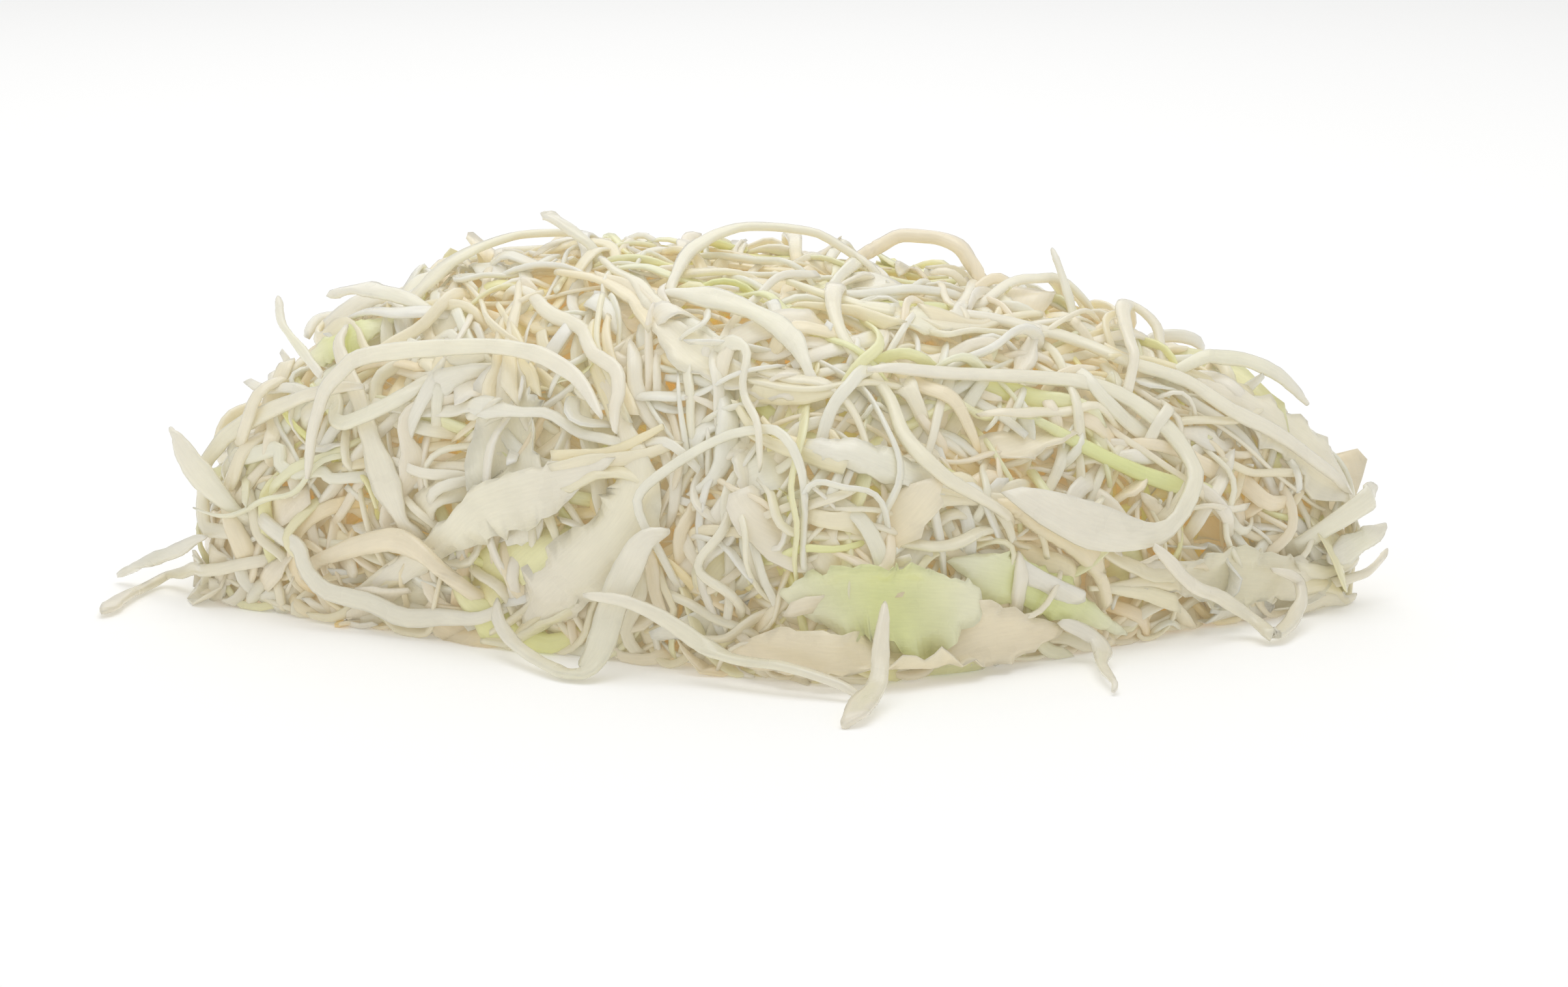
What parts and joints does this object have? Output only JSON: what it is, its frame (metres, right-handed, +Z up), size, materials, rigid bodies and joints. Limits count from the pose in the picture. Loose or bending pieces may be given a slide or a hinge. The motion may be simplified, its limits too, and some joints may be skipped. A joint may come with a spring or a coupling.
{
  "type": "shredded cabbage heap",
  "caption": "Heap of finely shredded white cabbage, a low oval mound of tangled pale strands, leaf flakes and rib slices, resting on a flat surface.",
  "frame": {"origin": "on the surface that the heap rests on, under the middle of the packed mass", "axes": "+Z up, +X along the heap's longest side, towards the right when it is seen from the front, and -Y towards the front"},
  "size_m": [0.1989, 0.1311, 0.0609],
  "materials": {
    "packed_mass": "moist satin, cream to straw in the hollows between the shreds",
    "white_leaf": "moist satin, translucent white leaf with a faint green cast",
    "cream_rib": "moist satin, dense cream-white rib",
    "green_leaf": "moist satin, pale yellow-green outer leaf"
  },
  "bodies": {
    "root": {"packed_shreds": "packed_mass", "back_strand_1": "white_leaf", "back_strand_2": "white_leaf", "back_strand_3": "white_leaf", "back_strand_4": "white_leaf", "back_strand_5": "white_leaf", "back_strand_6": "white_leaf", "back_strand_7": "white_leaf", "back_strand_8": "white_leaf", "back_rib_1": "cream_rib", "back_rib_2": "cream_rib", "back_flake_1": "white_leaf", "back_flake_2": "white_leaf", "hollow_leaf_flake": "white_leaf", "front_web_flake": "white_leaf", "left_web_flake": "white_leaf", "foot_leaf_flake": "cream_rib", "green_blotch_flake": "green_leaf", "pale_hood_flake": "green_leaf", "right_foot_flake": "white_leaf", "right_side_flake": "white_leaf", "yellow_left_flake": "green_leaf", "blade_flake": "white_leaf", "centre_leaf_flake": "white_leaf", "middle_blade_flake": "white_leaf", "left_rib_slice": "cream_rib", "centre_rib_slice": "cream_rib", "left_cross_strand": "white_leaf", "middle_strand": "white_leaf", "zigzag_strand": "white_leaf", "curled_strand": "white_leaf", "left_sweep_strand": "white_leaf", "low_left_strand": "white_leaf", "left_arch_strand": "white_leaf", "bow_strand": "white_leaf", "crossing_strand": "white_leaf", "shoulder_wavy_strand": "white_leaf", "green_tipped_strand": "green_leaf", "front_loop_thread": "white_leaf", "front_hanging_strand": "white_leaf", "great_arc_strand": "white_leaf", "right_low_strand": "white_leaf", "foot_strand": "white_leaf", "forked_front_flake": "white_leaf", "right_front_needle": "white_leaf", "left_ground_strand": "white_leaf", "left_raised_strand": "white_leaf", "left_spike": "white_leaf", "upper_left_thread": "white_leaf", "upper_left_tab": "white_leaf", "ridge_ribbon": "white_leaf", "crown_tab": "white_leaf", "crown_arch_strand": "white_leaf", "crown_rib_arch": "cream_rib", "shoulder_loop_strand": "white_leaf", "right_arch_strand": "white_leaf", "right_needle": "white_leaf", "right_tip_flake": "white_leaf", "right_low_tip_flake": "white_leaf", "crown_spike": "white_leaf"}
  },
  "joints": []
}
